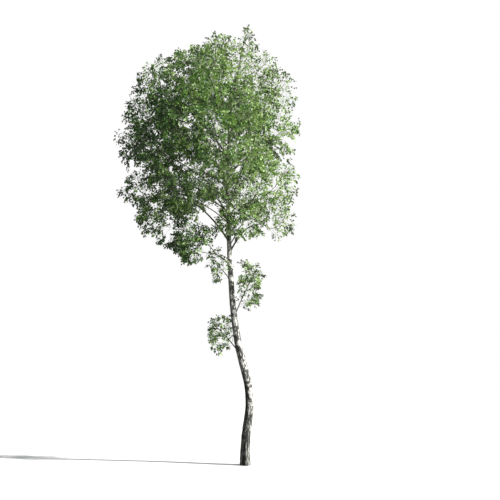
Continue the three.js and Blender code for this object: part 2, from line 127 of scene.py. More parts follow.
# Each mass: middle, half size, number of side twigs, height on the trunk that it springs from, and the
# arch of its bough, if it has one. The top mass sits on the trunk's tip, and a forked one springs from
# another's bough, that share along it.
MASSES = {
    "top": {"at": (30, 40, 8670), "half": (150, 200, 410), "twigs": 4, "tip": True},
    "crest": {"at": (-520, -40, 8300), "half": (460, 400, 410), "twigs": 4, "from": 7500},
    "left_peak": {"at": (-1220, 200, 8120), "half": (530, 500, 500), "twigs": 5, "from": 6500, "arch": 120},
    "left_shoulder": {
        "at": (-1810, -100, 7570), "half": (470, 500, 490), "twigs": 4, "from": 5900, "arch": 160
    },
    "right_shoulder": {"at": (330, 200, 8060), "half": (440, 420, 430), "twigs": 4, "from": 7000},
    "right_upper": {"at": (600, -200, 7250), "half": (470, 480, 480), "twigs": 4, "from": 6300, "arch": 60},
    "left_upper": {"at": (-2070, 200, 6940), "half": (560, 540, 560), "twigs": 5, "from": 5450, "arch": 150},
    "left_middle": {
        "at": (-2020, -300, 6120), "half": (540, 540, 540), "twigs": 4, "from": 4950, "arch": 130
    },
    "left_low": {"at": (-2085, 300, 5330), "half": (545, 500, 440), "twigs": 4, "from": 4130, "arch": 340},
    "right_middle": {"at": (680, 200, 6580), "half": (540, 520, 520), "twigs": 4, "from": 5600, "arch": 70},
    "right_wide": {"at": (580, -200, 5330), "half": (580, 500, 600), "twigs": 4, "from": 4250, "arch": 120},
    "left_ball": {"at": (-985, -420, 3970), "half": (455, 440, 530), "twigs": 5, "from": 3660, "arch": 60},
    "left_hanging": {
        "at": (-1690, -80, 4600), "half": (560, 440, 530), "twigs": 4,
        "fork": "left_ball", "share": 0.6, "arch": 120,
    },
    "right_hanging": {"at": (650, 50, 4600), "half": (320, 340, 460), "twigs": 3, "from": 3900, "arch": 260},
    "right_low": {"at": (10, -350, 4470), "half": (340, 420, 510), "twigs": 4, "from": 4030},
    "trunk_spray": {"at": (-490, -80, 3560), "half": (210, 230, 400), "twigs": 3, "from": 3340},
    "right_clump": {"at": (80, -80, 3250), "half": (290, 290, 520), "twigs": 4, "from": 2640},
    "left_clump": {"at": (-470, 60, 2340), "half": (330, 310, 480), "twigs": 4, "from": 1930},
    "front_crest": {"at": (-560, -930, 7210), "half": (580, 520, 570), "twigs": 3, "from": 6350},
    "front_right_upper": {"at": (120, -990, 6450), "half": (540, 520, 540), "twigs": 3, "from": 5750},
    "front_left_upper": {
        "at": (-1280, -990, 6500), "half": (600, 540, 560), "twigs": 3, "from": 5600, "arch": 110
    },
    "front_middle": {"at": (-580, -1380, 5900), "half": (540, 480, 520), "twigs": 3, "from": 5150},
    "front_left": {
        "at": (-1420, -1080, 5480), "half": (580, 520, 540), "twigs": 3, "from": 4700, "arch": 120
    },
    "front_right": {"at": (60, -1180, 5400), "half": (540, 500, 520), "twigs": 3, "from": 4800},
    "front_low": {"at": (-640, -1060, 5000), "half": (460, 440, 420), "twigs": 3, "from": 4400},
    "front_left_low": {"at": (-1200, -950, 4750), "half": (440, 420, 400), "twigs": 3, "from": 4520},
    "back_crest": {"at": (-820, 850, 7980), "half": (580, 520, 560), "twigs": 3, "from": 7100},
    "back_right_upper": {"at": (-60, 950, 7480), "half": (560, 520, 540), "twigs": 3, "from": 6650},
    "back_left_upper": {
        "at": (-1600, 990, 7350), "half": (580, 540, 560), "twigs": 3, "from": 6150, "arch": 110
    },
    "back_middle": {"at": (-860, 1380, 6800), "half": (580, 540, 560), "twigs": 3, "from": 5850, "arch": 90},
    "back_right": {"at": (180, 1150, 6450), "half": (580, 540, 560), "twigs": 3, "from": 5500, "arch": 80},
    "back_left": {"at": (-1700, 1180, 6280), "half": (600, 540, 560), "twigs": 3, "from": 5250, "arch": 120},
    "back_right_low": {"at": (180, 1150, 5450), "half": (540, 500, 500), "twigs": 3, "from": 4650},
    "back_left_low": {
        "at": (-1400, 1080, 5480), "half": (540, 500, 430), "twigs": 3, "from": 4740, "arch": 110
    },
    "back_low": {"at": (-600, 1250, 5800), "half": (500, 480, 500), "twigs": 3, "from": 5050},
    "inner_top": {"at": (-240, 100, 7800), "half": (480, 440, 500), "twigs": 3, "from": 7250},
    "inner_upper_left": {"at": (-960, -40, 7180), "half": (540, 500, 520), "twigs": 3, "from": 6750},
    "inner_upper_right": {"at": (80, 120, 6880), "half": (520, 500, 500), "twigs": 3, "from": 6480},
    "inner_left": {"at": (-1180, 60, 6260), "half": (560, 520, 520), "twigs": 3, "from": 5780},
    "inner_right": {"at": (100, -80, 5900), "half": (520, 500, 500), "twigs": 3, "from": 5480},
    "inner_low": {"at": (-370, -260, 4500), "half": (210, 300, 360), "twigs": 3, "from": 4330},
}
NAMES = list(MASSES)
MIDDLES = np.array([MASSES[name]["at"] for name in NAMES], float)
HALVES = np.array([MASSES[name]["half"] for name in NAMES], float)

# ---------------- sizes of the finer growth

# Sprigs grow on the stems and first twigs, twiglets on the sprigs, and leaves on sprigs and twiglets.
# Each is turned round its parent by so much from the one before, with some spread. A twiglet reaches as
# far out in its mass's space as its sprig does.
SPRIG = {
    "spacing": 38,
    "from": 0.12,
    "angles": (0.7, 1.25),
    "turn": GOLDEN_ANGLE,
    "spread": 0.3,
    "own_reach": True,
    "longest": 560,
    "shortest": 90,
    "droop": 0.10,
    "steps": 3,
    "thickness": 0.5,
    "most": 2.3,
    "tip": 0.9,
}
TWIGLET = {
    "spacing": 28,
    "from": 0.3,
    "angles": (0.5, 1.0),
    "turn": math.pi,
    "spread": 0.45,
    "own_reach": False,
    "longest": 220,
    "shortest": 55,
    "droop": 0.22,
    "steps": 2,
    "thickness": 0.7,
    "most": 1.1,
    "tip": 0.6,
}
LEAF_SPACING = 17
LEAF_LENGTH = (52, 74)  # with its stalk
BLEND = 4.0  # how sharply the spaces of neighbouring masses join: the higher, the deeper the valleys
OVERLAP = 0.6  # how much nearer to another mass than to its own a twig may end
MEASURED_LENGTHS = np.linspace(0.2, 1.0, 9)  # shares of its full length that are tried for each twig
BEND_AT = 0.55  # how far along a side twig it begins to droop
LEAF_SPREAD = 0.5  # of a leaf's turn from its two ranks, in radians
LEAF_ANGLES = (0.6, 1.15)  # off its twig, to each side
END_LEAF_ANGLE = 0.25
LEAF_DROOP = (0.1, 0.75)
LEAF_TILT = 0.55  # how far a leaf's upper side strays from level
LEAVES_FROM = {"twiglet": 0.12, "sprig": 0.45}  # how far along it its leaves begin
LAST_LEAF_AT = 0.999  # and how far along the last sits
TREE_SEED = 7

# No more leaves than so many grow in each cell, by how far to the sunny side it lies.
CROWDING_CELL = 200
CROWDED = ((-2350, 22), (-1900, 36), (-1300, 40), (-700, 27), (500, 18), (1100, 9))
# And that many times as many by mass: dense young shoots hold more, and the open crown's edge fewer.
LEAFIER = {
    "top": 0.9,
    "crest": 1.15,
    "left_peak": 0.95,
    "left_shoulder": 0.85,
    "right_shoulder": 0.45,
    "right_upper": 0.85,
    "left_low": 0.8,
    "right_middle": 1.15,
    "right_wide": 1.1,
    "left_ball": 1.9,
    "left_hanging": 0.95,
    "right_hanging": 1.4,
    "right_low": 1.6,
    "right_clump": 2.4,
    "left_clump": 1.2,
    "front_crest": 0.8,
    "front_left_low": 1.2,
    "inner_top": 0.75,
    "inner_low": 1.6,
}
PATCHY = ((400, 0.45), (1100, 1.1))  # how many more or fewer by chance, by how far to the sunny side
PATCH = 330  # and how far apart the fuller places are
REACH = {"mean": 0.89, "spread": 0.09, "least": 0.7, "most": 1.1}  # how far out each sprig ends
LEAF_REACH = 0.05  # and how much further its leaves
PROUD = 50  # the most that a leaf may stand out of the solids' box
TRUNK_ROOM = 12  # between a twig's end or a leaf and the trunk
PLACE_JITTER = (0.25, 0.75)  # where each side twig stands in its own length of its parent
FULL_LENGTH = (0.6, 1.0)  # shares of the longest that side twigs may grow to

# ---------------- the part's rule for its limbs


def seeded(seed):
    """Repeatable random numbers from 0 to 1 (the mulberry32 generator)."""
    state = seed & 0xFFFFFFFF

    def product(a, b):
        return (a * b) & 0xFFFFFFFF

    def draw():
        nonlocal state
        state = (state + 0x6D2B79F5) & 0xFFFFFFFF
        t = state
        t = product(t ^ (t >> 15), t | 1)
        t ^= (t + product(t ^ (t >> 7), t | 61)) & 0xFFFFFFFF
        return (t ^ (t >> 14)) / 4294967296

    return draw


def values_at(rows, height):
    """Smooth values at a height, or at several, from rows of [height, ...values]."""
    table = np.array(rows, float)
    height = np.asarray(height, float)
    last = len(table) - 1
    k = np.clip(np.searchsorted(table[:, 0], height, side="left") - 1, 0, last - 1)
    i = np.arange(last + 1)
    before = table[np.maximum(i - 1, 0)]
    after = table[np.minimum(i + 1, last)]
    slope = (after - before) / (after[:, :1] - before[:, :1])
    span = (table[k + 1, 0] - table[k, 0])[..., None]
    t = (height[..., None] - table[k, :1]) / span
    value = (
        (2 * t**3 - 3 * t**2 + 1) * table[k]
        + (t**3 - 2 * t**2 + t) * span * slope[k]
        + (3 * t**2 - 2 * t**3) * table[k + 1]
        + (t**3 - t**2) * span * slope[k + 1]
    )
    return value[..., 1:]


def trunk_point(height):
    x, y, _ = values_at(TRUNK_STATIONS, height)
    return np.array([x, y, height])


def trunk_radius(height):
    return values_at(TRUNK_STATIONS, height)[2] / 2


class Limb:
    """A tapering limb along a quadratic curve. The part draws it straight from each ring to the next."""

    def __init__(self, start, control, end, steps, foot, tip):
        self.start, self.control, self.end = start, control, end
        self.steps, self.foot, self.tip = steps, foot, tip

    def point(self, t):
        t = np.asarray(t, float)[..., None]
        return (1 - t) ** 2 * self.start + 2 * (1 - t) * t * self.control + t**2 * self.end

    def length(self):
        points = self.point(np.linspace(0, 1, 201))
        return np.linalg.norm(np.diff(points, axis=0), axis=1).sum()

    def end_heading(self):
        ahead = self.point(1) - self.point(0.9999)
        return ahead / np.linalg.norm(ahead)

    def place(self, t):
        ring = min(math.floor(t * self.steps), self.steps - 1)
        start, end = self.point(ring / self.steps), self.point((ring + 1) / self.steps)
        heading = (end - start) / np.linalg.norm(end - start)
        return start + (end - start) * (t * self.steps - ring), heading

    def radius(self, t):
        return self.foot + (self.tip - self.foot) * t


def depths(points):
    """How far out each point lies in every mass's space: 0 in the middle, 1 at its edge."""
    points = np.atleast_2d(points)
    return np.linalg.norm((points[:, None] - MIDDLES) / HALVES, axis=2)


def bough_of(mass, limbs):
    parent = limbs[mass["fork"]][0] if "fork" in mass else None
    if parent:
        start, bearer = parent.place(mass["share"])[0], parent.radius(mass["share"])
    else:
        start, bearer = trunk_point(mass["from"]), trunk_radius(mass["from"])
    middle = np.array(mass["at"], float)
    depth = np.linalg.norm((start - middle) / mass["half"])
    end = middle + (start - middle) * (BOUGH_ENTERS / depth)
    control = (start + end) / 2 + (0, 0, 2 * mass["arch"])
    bough = Limb(start, control, end, BOUGH_STEPS, 0, 0)
    slender = min(bearer * BOUGH_THICKEST, bough.length() * BOUGH_SLENDERNESS)
    bough.foot = max(slender, bearer * BOUGH_THINNEST)
    bough.tip = bough.foot * BOUGH_TIP
    return bough


def stem_of(mass, bough):
    height = mass.get("from", TRUNK_TOP)
    start, heading, radius = trunk_point(height), np.array([0.0, 0.0, 1.0]), trunk_radius(height)
    if bough:
        start, heading, radius = bough.point(1), bough.end_heading(), bough.tip
    follows = bool(bough) or "tip" in mass
    if follows:
        start = start + heading * JOINT_GAP
    middle = np.array(mass["at"], float)
    depth = np.linalg.norm((start - middle) / mass["half"])
    end = middle + (start - middle) * (-STEM_REACHES / depth)
    length = np.linalg.norm(end - start)
    if follows:
        control = start + heading * (length * STEM_LEAD)
    else:
        control = (start + end) / 2 + (0, 0, length * STEM_ARCH)
    return Limb(start, control, end, STEM_STEPS, min(STEM_RADIUS, radius * STEM_THICKEST), STEM_TIP)


def balls_of(limb, owner):
    """A limb as a row of balls, for the clearance test."""
    count = math.ceil(limb.length() / BALL_SPACING)
    return [(*limb.place(i / count)[0], limb.radius(i / count), owner) for i in range(count + 1)]


def keeps_to_its_space(index, points):
    depth = depths(points)
    own = depth[:, index]
    others = np.delete(depth, index, axis=1)
    return (own <= 1).all() and (own[:, None] + SPACE_MARGIN < others).all()


def turned_off(heading, angle, turn):
    """A heading turned off another by an angle, towards a turn round it."""
    aside = (1.0, 0.0, 0.0) if abs(heading[2]) > NEARLY_UPRIGHT else (0.0, 0.0, 1.0)
    side = np.cross(heading, aside)
    side /= np.linalg.norm(side)
    up = np.cross(side, heading)
    return heading * math.cos(angle) + (side * math.cos(turn) + up * math.sin(turn)) * math.sin(angle)


def twigs_of(index, stem, random, balls):
    """The first side twigs of a stem, as the part has them."""
    mass = MASSES[NAMES[index]]
    room_beyond = TWIG_ROOM * HALVES[index].mean()
    inside = 0
    while inside < TWIGS_END and depths(stem.place(inside)[0])[0, index] > TWIGS_FROM:
        inside += STEM_SEARCH_STEP
    taken = [stem.place(1)[0]]
    twigs = []
    for i in range(mass["twigs"]):
        t = inside + ((TWIGS_END - inside) * (i + TWIG_PLACE)) / mass["twigs"]
        start, onward = stem.place(t)
        foot = stem.radius(t) * TWIG_THICKNESS
        best, room = None, -1
        for _ in range(TWIG_TRIES):
            angle = TWIG_SPREAD[0] + (TWIG_SPREAD[1] - TWIG_SPREAD[0]) * random()
            heading = turned_off(onward, angle, random() * 2 * math.pi)
            length = TWIG_SHORTEST
            while keeps_to_its_space(index, start + heading * (length + room_beyond)):
                length += TWIG_LENGTH_STEP
            end = start + heading * length
            points = start + (end - start) * np.linspace(0, 1, TWIG_SAMPLES + 1)[:, None]
            if not keeps_to_its_space(index, points[1:]):
                continue
            gaps = np.linalg.norm(points[:, None] - balls[:, :3], axis=2)
            if not (gaps > balls[:, 3] + TWIG_CLEARANCE).all():
                continue
            nearest = min(np.linalg.norm(end - other) for other in taken)
            if nearest > room:
                best, room = Limb(start, (start + end) / 2, end, 1, foot, TWIG_TIP), nearest
        if best:
            twigs.append(best)
            taken.append(best.end)
    return twigs


def grow_limbs():
    """Every mass's bough, stem and first twigs."""
    limbs = {}
    for name, mass in MASSES.items():
        bough = bough_of(mass, limbs) if "arch" in mass else None
        limbs[name] = (bough, stem_of(mass, bough))
    balls = []
    for i, (bough, stem) in enumerate(limbs.values()):
        balls += balls_of(stem, i)
        if bough:
            balls += balls_of(bough, -1)
    for height in range(0, TRUNK_TOP, BALL_SPACING):
        balls.append((*trunk_point(height), trunk_radius(height), -1))
    balls = np.array(balls)
    twigs = {}
    for i, (name, (_, stem)) in enumerate(limbs.items()):
        away = np.linalg.norm(balls[:, :3] - MIDDLES[i], axis=1)
        near = balls[(away < 2 * HALVES[i].max()) & (balls[:, 4] != i)]
        twigs[name] = twigs_of(i, stem, seeded(FIRST_SEED + i), near)
    return limbs, twigs


# ---------------- finer growth, in arrays


def unit(vectors):
    return vectors / np.maximum(np.linalg.norm(vectors, axis=-1, keepdims=True), 1e-9)


def noise_at(points):
    """Smooth noise about 0, with features about 1 across."""
    return np.array([noise.noise(Vector(point)) for point in points])


def ease(value, low, high):
    """0 up to low, 1 from high on, and smooth between."""
    t = np.clip((value - low) / (high - low), 0, 1)
    return t * t * (3 - 2 * t)


def across(headings):
    """Two directions square to each heading and to each other."""
    upright = np.abs(headings[:, 2:]) > NEARLY_UPRIGHT
    side = unit(np.cross(headings, np.where(upright, (1.0, 0.0, 0.0), (0.0, 0.0, 1.0))))
    return side, np.cross(side, headings)


class Growth:
    """Many limbs of one kind: curves (start, control, end), radii, and the mass, spray and reach of each."""

    FIELDS = ("start", "control", "end", "foot", "tip", "mass", "spray", "reach")

    def __init__(self, steps, **columns):
        self.steps = steps
        for field in self.FIELDS:
            setattr(self, field, columns[field])

    def point(self, which, t):
        t = t[:, None]
        return (
            (1 - t) ** 2 * self.start[which]
            + 2 * (1 - t) * t * self.control[which]
            + t**2 * self.end[which]
        )

    def place(self, which, t):
        """Where the limb is drawn at t, and its heading there."""
        ring = np.minimum(np.floor(t * self.steps), self.steps - 1)
        start, end = self.point(which, ring / self.steps), self.point(which, (ring + 1) / self.steps)
        return start + (end - start) * (t * self.steps - ring)[:, None], unit(end - start)

    def length(self):
        """About the curve's own: midway between its chord and its two legs."""
        first_leg = np.linalg.norm(self.control - self.start, axis=1)
        second_leg = np.linalg.norm(self.end - self.control, axis=1)
        return (first_leg + second_leg + np.linalg.norm(self.end - self.start, axis=1)) / 2

    def chosen(self, mask):
        return Growth(self.steps, **{field: getattr(self, field)[mask] for field in self.FIELDS})


def growth_of(limbs):
    """Single limbs of the rule, each with the index of its mass, as one Growth."""
    columns = {
        field: np.array([getattr(limb, field) for limb, _ in limbs], float)
        for field in ("start", "control", "end", "foot", "tip")
    }
    columns["mass"] = np.array([index for _, index in limbs])
    columns["spray"] = np.arange(len(limbs))
    columns["reach"] = np.ones(len(limbs))  # not used: every sprig has a reach of its own
    return Growth(STEM_STEPS, **columns)


def joined_depth(depth):
    """How far out in all the masses' spaces joined, from how far out in each."""
    return (depth**-BLEND).sum(axis=1) ** (-1 / BLEND)


def fits(points, mass, reach):
    """Whether each point is in the masses' joined space, near its own mass, and clear of the trunk."""
    depth = depths(points)
    own = depth[np.arange(len(points)), mass]
    height = np.clip(points[:, 2], 0, TRUNK_TOP)
    x, y, diameter = values_at(TRUNK_STATIONS, height).T
    gap = np.hypot(points[:, 0] - x, points[:, 1] - y) - diameter / 2
    clear = (gap > TRUNK_ROOM) | (points[:, 2] > TRUNK_TOP)
    low, high = np.array(cad_box) / METRES
    boxed = ((points > low - PROUD) & (points < high + PROUD)).all(axis=1)
    return (joined_depth(depth) <= reach) & (own <= depth.min(axis=1) + OVERLAP) & clear & boxed


def numbered(count):
    """For rows of so many each: which row every member is in, and its number there."""
    which = np.repeat(np.arange(len(count)), count)
    return which, np.arange(len(which)) - np.repeat(np.cumsum(count) - count, count)


def turned_aside(onward, angle, turn):
    """Headings turned off others by an angle, towards a turn round them."""
    side, up = across(onward)
    angle, turn = angle[:, None], turn[:, None]
    return onward * np.cos(angle) + (side * np.cos(turn) + up * np.sin(turn)) * np.sin(angle)


def side_growth(parents, kind, random):
    """Side twigs of every parent, evenly spaced along it, each as long as its mass's space allows."""
    length = parents.length()
    count = np.maximum(np.round(length * (1 - kind["from"]) / kind["spacing"]), 1).astype(int)
    which, order = numbered(count)
    t = kind["from"] + (1 - kind["from"]) * (order + random.uniform(*PLACE_JITTER, len(which))) / count[which]
    start, onward = parents.place(which, t)
    turn = random.uniform(0, 2 * math.pi, len(count))[which]
    turn = turn + order * kind["turn"] + random.normal(0, kind["spread"], len(which))
    heading = turned_aside(onward, random.uniform(*kind["angles"], len(which)), turn)
    mass = parents.mass[which]
    full = kind["longest"] * random.uniform(*FULL_LENGTH, len(which))
    reach = random.normal(REACH["mean"], REACH["spread"], len(which)).clip(REACH["least"], REACH["most"])
    if not kind["own_reach"]:
        reach = parents.reach[which]
    best = np.zeros(len(which))
    for share in MEASURED_LENGTHS:
        end = start + heading * (full * share)[:, None]
        end[:, 2] -= kind["droop"] * full * share
        best = np.where(fits(end, mass, reach), full * share, best)
    keep = best > kind["shortest"]
    start, heading, mass = start[keep], heading[keep], mass[keep]
    best, which, reach = best[keep], which[keep], reach[keep]
    end = start + heading * best[:, None]
    end[:, 2] -= kind["droop"] * best
    halfway = (parents.foot + parents.tip) / 2
    foot = np.minimum(halfway[which] * kind["thickness"], kind["most"])
    return Growth(
        kind["steps"],
        start=start,
        control=start + heading * (best * BEND_AT)[:, None],
        end=end,
        foot=foot,
        tip=np.minimum(foot, kind["tip"]),
        mass=mass,
        spray=np.arange(len(which)),
        reach=reach,
    )


def leaves_on(twigs, share_from, random):
    """Leaves on every twig: foot, heading, upper side and length, with mass and spray."""
    length = twigs.length()
    count = np.maximum(np.round(length * (1 - share_from) / LEAF_SPACING), 2).astype(int)
    which, order = numbered(count)
    t = share_from + (1 - share_from) * (order + 1) / count[which]
    foot, onward = twigs.place(which, np.minimum(t, LAST_LEAF_AT))
    turn = random.uniform(0, 2 * math.pi, len(count))[which] + order * math.pi
    turn = turn + random.normal(0, LEAF_SPREAD, len(which))
    last = order + 1 == count[which]
    angle = np.where(last, END_LEAF_ANGLE, random.uniform(*LEAF_ANGLES, len(which)))
    heading = turned_aside(onward, angle, turn)
    heading[:, 2] -= random.uniform(*LEAF_DROOP, len(which))
    heading = unit(heading)
    upper = random.normal(0, LEAF_TILT, (len(which), 3)) + (0, 0, 1)
    upper = unit(upper - heading * (upper * heading).sum(axis=1, keepdims=True))
    size = random.uniform(*LEAF_LENGTH, len(which))
    tip = foot + heading * size[:, None]
    keep = fits(tip, twigs.mass[which], twigs.reach[which] + LEAF_REACH)
    return {
        "foot": foot[keep],
        "heading": heading[keep],
        "upper": upper[keep],
        "size": size[keep],
        "mass": twigs.mass[which][keep],
        "spray": twigs.spray[which][keep],
    }


def thinned(leaves, random):
    """The leaves that aren't crowded out: no more than so many, picked by chance, in each cell."""
    order = random.permutation(len(leaves["size"]))
    cells = np.floor(leaves["foot"][order] / CROWDING_CELL).astype(int)
    _, cell = np.unique(cells, axis=0, return_inverse=True)
    cell = cell.ravel()
    by_cell = np.argsort(cell, kind="stable")
    first = np.searchsorted(cell[by_cell], cell[by_cell], side="left")
    feet = leaves["foot"][order[by_cell]]
    leafy = np.array([LEAFIER.get(name, 1) for name in NAMES])[leaves["mass"][order[by_cell]]]
    patchy = 1 + np.interp(feet[:, 0], *zip(*PATCHY)) * 2 * noise_at(feet / PATCH)
    most = np.interp(feet[:, 0], *zip(*CROWDED)) * patchy * leafy
    keep = order[by_cell[np.arange(len(cell)) - first < most]]
    return {key: value[np.sort(keep)] for key, value in leaves.items()}


# ---------------- meshes from arrays


def make_mesh(name, vertices, faces, materials, tones=None, smooth=False):
    """An object of triangles, given in millimetres."""
    mesh = bpy.data.meshes.new(name)
    mesh.vertices.add(len(vertices))
    mesh.vertices.foreach_set("co", (vertices * METRES).astype(np.float32).ravel())
    mesh.loops.add(faces.size)
    mesh.loops.foreach_set("vertex_index", faces.astype(np.int32).ravel())
    mesh.polygons.add(len(faces))
    mesh.polygons.foreach_set("loop_start", np.arange(0, faces.size, 3, dtype=np.int32))
    for material in materials:
        mesh.materials.append(material)
    if tones is not None:
        mesh.polygons.foreach_set("material_index", tones.astype(np.int32))
    mesh.polygons.foreach_set("use_smooth", np.full(len(faces), smooth))
    mesh.update(calc_edges=True)
    mesh.validate()
    piece = bpy.data.objects.new(name, mesh)
    bpy.context.scene.collection.objects.link(piece)
    return piece


def tube_walls(rings, sides):
    """Triangles of a closed tube: its walls from ring to ring, and a fan at each end."""
    a = (np.arange(rings - 1)[:, None] * sides + np.arange(sides)).ravel()
    b = (np.arange(rings - 1)[:, None] * sides + (np.arange(sides) + 1) % sides).ravel()
    quads = np.stack([a, b, b + sides, a + sides], axis=1)
    fan = np.array([(0, i + 1, i) for i in range(1, sides - 1)])
    last = (rings - 1) * sides
    return np.concatenate([quads[:, :3], quads[:, [0, 2, 3]], fan, fan[:, ::-1] + last])


def circle(headings, sides):
    """Points on a circle of radius 1 square to each heading."""
    side, up = across(headings)
    turn = np.arange(sides) * 2 * math.pi / sides
    return side[:, None] * np.cos(turn)[:, None] + up[:, None] * np.sin(turn)[:, None]


def tubes(growth, sides):
    """Closed tapering tubes along every limb of a Growth, as vertices and triangles."""
    rings = growth.steps + 1
    count = len(growth.start)
    which = np.repeat(np.arange(count), rings)
    t = np.tile(np.linspace(0, 1, rings), count)
    centre = growth.point(which, t).reshape(count, rings, 3)
    radius = (growth.foot[which] + (growth.tip - growth.foot)[which] * t).reshape(count, rings, 1, 1)
    ring = circle(unit(growth.end - growth.start), sides)
    vertices = centre[:, :, None] + ring[:, None] * radius
    first = np.arange(count)[:, None, None] * rings * sides
    return vertices.reshape(-1, 3), (first + tube_walls(rings, sides)).reshape(-1, 3)


# A leaf in its own frame: across, along and up, as shares of its length. Its stalk, then its blade.
LEAF_CORNERS = np.array(
    [
        (-0.013, 0.0, 0.0),
        (0.013, 0.0, 0.0),
        (0.0, 0.22, 0.0),
        (0.32, 0.46, 0.07),
        (0.17, 0.74, 0.02),
        (0.0, 1.0, -0.06),
        (-0.17, 0.74, 0.02),
        (-0.32, 0.46, 0.07),
    ]
)
LEAF_FACES = np.array([(0, 1, 2), (2, 3, 4), (2, 4, 5), (2, 5, 6), (2, 6, 7)])


def leaf_mesh(name, leaves, materials, tones):
    across_leaf = np.cross(leaves["heading"], leaves["upper"])
    axes = np.stack([across_leaf, leaves["heading"], leaves["upper"]], axis=1) * leaves["size"][:, None, None]
    vertices = leaves["foot"][:, None] + LEAF_CORNERS @ axes
    faces = np.arange(len(vertices))[:, None, None] * len(LEAF_CORNERS) + LEAF_FACES
    per_leaf = np.repeat(tones, len(LEAF_FACES))
    return make_mesh(name, vertices.reshape(-1, 3), faces.reshape(-1, 3), materials, per_leaf)


# ---------------- bark with its relief

TRUNK_SIDES = 56
TRUNK_RINGS = ((0, 2000, 11), (2000, 4500, 18), (4500, TRUNK_TOP, 34))  # from, to, spacing
OLD_BARK = (500, 1500)  # furrowed up to the first height, smooth from the second
# Noise: how fast it changes round the trunk, and how slowly up it. Depths are in millimetres.
RIDGES = {"around": 2.7, "height": 210, "crack": 0.2}
SMALL_RELIEF = {"around": 5.5, "height": 60}
WAVES = {"around": 1.2, "height": 140}
OLD_RELIEF = {"swell": 3, "crack": 9, "small": 2.5}
YOUNG_RELIEF = {"waves": 1.6, "small": 0.8}
COLLAR = {"wide": 1.6, "high": 1.6, "depth": 0.35}  # the swelling round a limb's foot, by its radius
LEAVING = 0.15  # the first share of a limb, which shows how it leaves the trunk
SOFT_TOP, SOFT_FOOT = (0, 400), (-20, 30)  # how the relief fades at both ends
THIN_TRUNK = 90  # below this diameter the relief grows less with it


def trunk_mesh(material, limbs):
    heights = np.concatenate([np.arange(low, high, step) for low, high, step in TRUNK_RINGS] + [[TRUNK_TOP]])
    turn = np.arange(TRUNK_SIDES) * 2 * math.pi / TRUNK_SIDES
    height, around = (a.ravel() for a in np.meshgrid(heights, turn, indexing="ij"))
    x, y, diameter = values_at(TRUNK_STATIONS, height).T
    swelling = np.cos(FLARE["lobes"] * around + FLARE["turn"]) * np.exp(-height / FLARE["height"])
    radius = diameter / 2 * (1 + FLARE["depth"] * swelling)
    ring = np.stack([np.cos(around), np.sin(around)], axis=1)

    def noise_of(size):
        return noise_at(np.column_stack([ring * size["around"], height / size["height"]]))

    old = 1 - ease(height, *OLD_BARK)
    crack = 1 - ease(np.abs(noise_of(RIDGES)), 0.0, RIDGES["crack"])
    small = noise_of(SMALL_RELIEF)
    furrows = OLD_RELIEF["swell"] - OLD_RELIEF["crack"] * crack + OLD_RELIEF["small"] * small
    smooth = YOUNG_RELIEF["waves"] * noise_of(WAVES) + YOUNG_RELIEF["small"] * small
    relief = old * furrows + (1 - old) * smooth
    for bough, stem in limbs.values():
        limb = bough or stem
        foot = limb.point(0)
        aim = limb.point(LEAVING) - foot
        away = np.arctan2(aim[1], aim[0])
        slide = aim[2] / max(np.hypot(aim[0], aim[1]), 1) * trunk_radius(min(foot[2], TRUNK_TOP))
        off = np.angle(np.exp(1j * (around - away))) * diameter / 2
        rise = height - foot[2] - slide
        wide = limb.foot * COLLAR["wide"]
        collar = np.exp(-((off / wide) ** 2) - (rise / (wide * COLLAR["high"])) ** 2)
        relief = relief + limb.foot * COLLAR["depth"] * collar
    taper = ease(TRUNK_TOP - height, *SOFT_TOP) * ease(height, *SOFT_FOOT)
    radius = radius + relief * np.minimum(1, diameter / THIN_TRUNK) * taper

    vertices = np.column_stack([x + ring[:, 0] * radius, y + ring[:, 1] * radius, height])
    triangles = tube_walls(len(heights), TRUNK_SIDES)
    piece = make_mesh("bark_of_trunk", vertices, triangles, [material], smooth=True)
    crack_layer = piece.data.attributes.new("crack", "FLOAT", "POINT")
    crack_layer.data.foreach_set("value", (crack * old).astype(np.float32))
    return piece


BOUGH_SIDES = 14
BOUGH_RINGS = 40
BOUGH_RELIEF = {"around": 1.4, "along": 70, "apart": 9, "depth": 0.14}  # depth as a share of the radius
BOUGH_FLARE = {"depth": 0.45, "length": 3}  # at its foot, both as shares of the radius there


def bough_mesh(boughs, material):
    all_vertices, all_triangles = [], []
    walls = tube_walls(BOUGH_RINGS, BOUGH_SIDES)
    t = np.linspace(0, 1, BOUGH_RINGS)
    for index, bough in enumerate(boughs):
        centre = bough.point(t)
        ring = circle(unit(np.gradient(centre, axis=0)), BOUGH_SIDES)
        cells = ring * BOUGH_RELIEF["around"] + centre[:, None] / BOUGH_RELIEF["along"]
        cells = cells + index * BOUGH_RELIEF["apart"]
        relief = noise_at(cells.reshape(-1, 3)).reshape(BOUGH_RINGS, BOUGH_SIDES, 1)
        fading = np.exp(-t * bough.length() / (BOUGH_FLARE["length"] * bough.foot))
        swelling = BOUGH_RELIEF["depth"] * relief + BOUGH_FLARE["depth"] * fading[:, None, None]
        vertices = centre[:, None] + ring * bough.radius(t)[:, None, None] * (1 + swelling)
        all_vertices.append(vertices.reshape(-1, 3))
        all_triangles.append(walls + index * BOUGH_RINGS * BOUGH_SIDES)
    vertices, triangles = np.concatenate(all_vertices), np.concatenate(all_triangles)
    return make_mesh("bark_of_boughs", vertices, triangles, [material], smooth=True)


# ---------------- materials


def new_material(name):
    material = bpy.data.materials.new(name)
    material.use_nodes = True
    return material, material.node_tree, material.node_tree.nodes["Principled BSDF"]


def set_inputs(node, **values):
    """Sets a node's inputs, each named in small letters with _ for a space."""
    inputs = {socket.name.lower().replace(" ", "_"): socket for socket in node.inputs}
    for name, value in values.items():
        inputs[name].default_value = value
    return node


